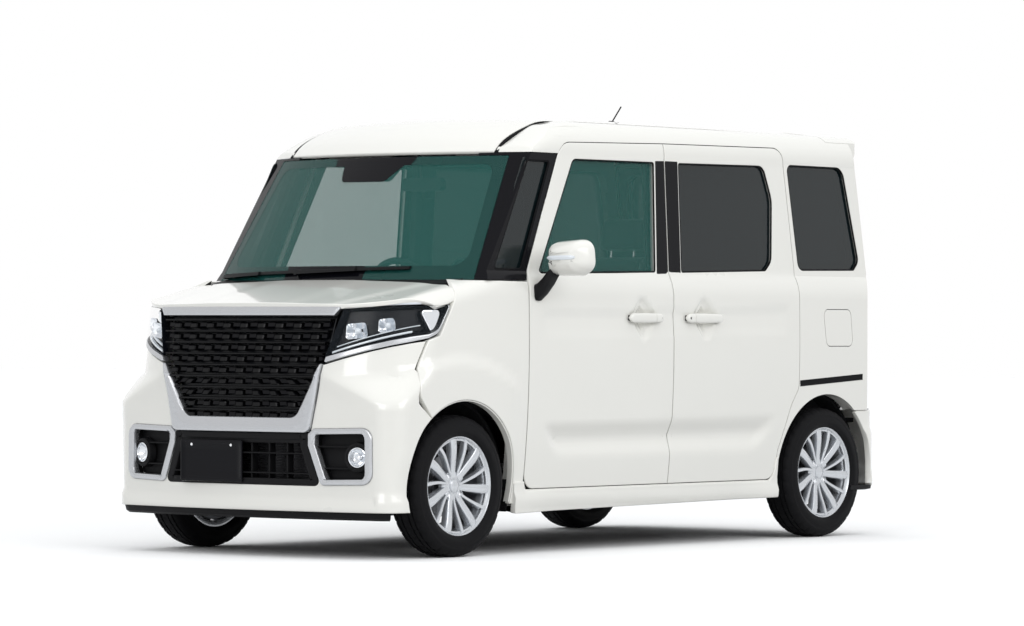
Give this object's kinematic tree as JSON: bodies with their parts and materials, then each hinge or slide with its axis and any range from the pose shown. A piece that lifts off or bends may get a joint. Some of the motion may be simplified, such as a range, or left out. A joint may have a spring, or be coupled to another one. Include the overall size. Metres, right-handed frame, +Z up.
{
  "type": "kei car",
  "caption": "Tall two-box micro car with a short bonnet, sliding rear side doors, a top-hinged tailgate and a furnished cabin",
  "frame": {"origin": "centre of the bounding box in plan, on the ground under the tyres", "axes": "+X ahead, +Y to the car's left, +Z up"},
  "size_m": [3.3949, 1.9066, 1.8599],
  "materials": {
    "trim_black": "grained black plastic",
    "body_paint": "pearl white",
    "underbody_paint": "matte underseal",
    "dash_plastic": "grained dark plastic",
    "gloss_black": "gloss black",
    "clear_glass": "light green glass",
    "engine_cast": "cast alloy",
    "chassis_steel": "black steel",
    "paint_plastic": "pearl white on plastic",
    "seat_cloth": "dark woven cloth",
    "tank_plastic": "moulded black tank",
    "chrome_trim": "satin bright trim",
    "lamp_lens": "clear lamp cover",
    "lamp_case": "dark lamp housing",
    "cast_parts": "bare casting",
    "privacy_glass": "dark privacy glass",
    "tail_lens": "red lamp cover",
    "tyre": "matte rubber",
    "alloy_silver": "painted alloy"
  },
  "bodies": {
    "car_body": {"aerial": "trim_black", "body_sides": "body_paint", "bulkhead": "underbody_paint", "cowl": "trim_black", "dashboard": "dash_plastic", "engine_block": "engine_cast", "exhaust": "chassis_steel", "floor_pan": "underbody_paint", "fog_lamp_bezels": "trim_black", "front_bumper": "paint_plastic", "front_fenders": "body_paint", "front_seats": "seat_cloth", "front_suspension": "chassis_steel", "fuel_tank": "tank_plastic", "grille_surround": "chrome_trim", "headlamp_lenses": "lamp_lens", "headlamps": "lamp_case", "lower_grille": "trim_black", "radiator": "chassis_steel", "radiator_grille": "gloss_black", "rear_axle": "chassis_steel", "rear_bumper": "paint_plastic", "rear_seats": "seat_cloth", "roof_panel": "body_paint", "room_mirror": "dash_plastic", "side_skirts": "paint_plastic", "side_windows": "privacy_glass", "sliding_doors": "body_paint", "tail_lamps": "tail_lens", "wheelhouses": "underbody_paint", "windscreen": "clear_glass", "windscreen_pillars": "gloss_black", "wipers": "trim_black"},
    "left_front_wheel": {"tyre_front_left": "tyre", "wheel_front_left": "alloy_silver"},
    "right_front_wheel": {"tyre_front_right": "tyre", "wheel_front_right": "alloy_silver"},
    "left_rear_wheel": {"tyre_rear_left": "tyre", "wheel_rear_left": "alloy_silver"},
    "right_rear_wheel": {"tyre_rear_right": "tyre", "wheel_rear_right": "alloy_silver"},
    "left_knuckle": {"knuckle_left": "cast_parts"},
    "right_knuckle": {"knuckle_right": "cast_parts"},
    "steering_column": {"steering_wheel": "trim_black"},
    "left_front_door": {"front_door_left": "body_paint", "door_window_left": "clear_glass", "door_mirror_left": "gloss_black"},
    "right_front_door": {"front_door_right": "body_paint", "door_window_right": "clear_glass", "door_mirror_right": "gloss_black"},
    "engine_lid": {"bonnet": "body_paint"},
    "rear_gate": {"tailgate": "body_paint", "tailgate_glass": "privacy_glass", "rear_spoiler": "paint_plastic", "rear_wiper": "trim_black"},
    "filler_lid": {"fuel_lid": "body_paint"}
  },
  "joints": [
    {"name": "left_steer", "type": "hinge", "parent": "car_body", "child": "left_knuckle", "pos_m": [1.1825, 0.5925, 0.1805], "axis": [0, -0.1699, 0.9855], "range_deg": [-35, 35]},
    {"name": "right_steer", "type": "hinge", "parent": "car_body", "child": "right_knuckle", "pos_m": [1.1825, -0.5925, 0.1805], "axis": [0, 0.1699, 0.9855], "range_deg": [-35, 35]},
    {"name": "steering_turn", "type": "hinge", "parent": "car_body", "child": "steering_column", "pos_m": [0.2575, -0.34, 1.015], "axis": [-0.9063, 0, 0.4226], "range_deg": [-560, 560]},
    {"name": "left_front_roll", "type": "hinge", "parent": "left_knuckle", "child": "left_front_wheel", "pos_m": [1.1825, 0.6475, 0.2785], "axis": [0, 1, 0], "continuous": true},
    {"name": "right_front_roll", "type": "hinge", "parent": "right_knuckle", "child": "right_front_wheel", "pos_m": [1.1825, -0.6475, 0.2785], "axis": [0, 1, 0], "continuous": true},
    {"name": "left_rear_roll", "type": "hinge", "parent": "car_body", "child": "left_rear_wheel", "pos_m": [-1.2775, 0.65, 0.2785], "axis": [0, 1, 0], "continuous": true},
    {"name": "right_rear_roll", "type": "hinge", "parent": "car_body", "child": "right_rear_wheel", "pos_m": [-1.2775, -0.65, 0.2785], "axis": [0, 1, 0], "continuous": true},
    {"name": "left_door_swing", "type": "hinge", "parent": "car_body", "child": "left_front_door", "pos_m": [0.7775, 0.7385, 0.65], "axis": [0, 0, -1], "range_deg": [0, 65]},
    {"name": "right_door_swing", "type": "hinge", "parent": "car_body", "child": "right_front_door", "pos_m": [0.7775, -0.7385, 0.65], "axis": [0, 0, 1], "range_deg": [0, 65]},
    {"name": "engine_lid_swing", "type": "hinge", "parent": "car_body", "child": "engine_lid", "pos_m": [1.2065, 0, 1.09], "axis": [0, -1, 0], "range_deg": [0, 50]},
    {"name": "rear_gate_swing", "type": "hinge", "parent": "car_body", "child": "rear_gate", "pos_m": [-1.3835, 0, 1.77], "axis": [0, 1, 0], "range_deg": [0, 85]},
    {"name": "filler_lid_swing", "type": "hinge", "parent": "car_body", "child": "filler_lid", "pos_m": [-1.2435, 0.7385, 0.9], "axis": [0, 0, -1], "range_deg": [0, 90]}
  ],
  "couplings": [
    {"joint": "right_steer", "follows": "left_steer", "ratio": 1},
    {"joint": "steering_turn", "follows": "left_steer", "ratio": 16}
  ]
}
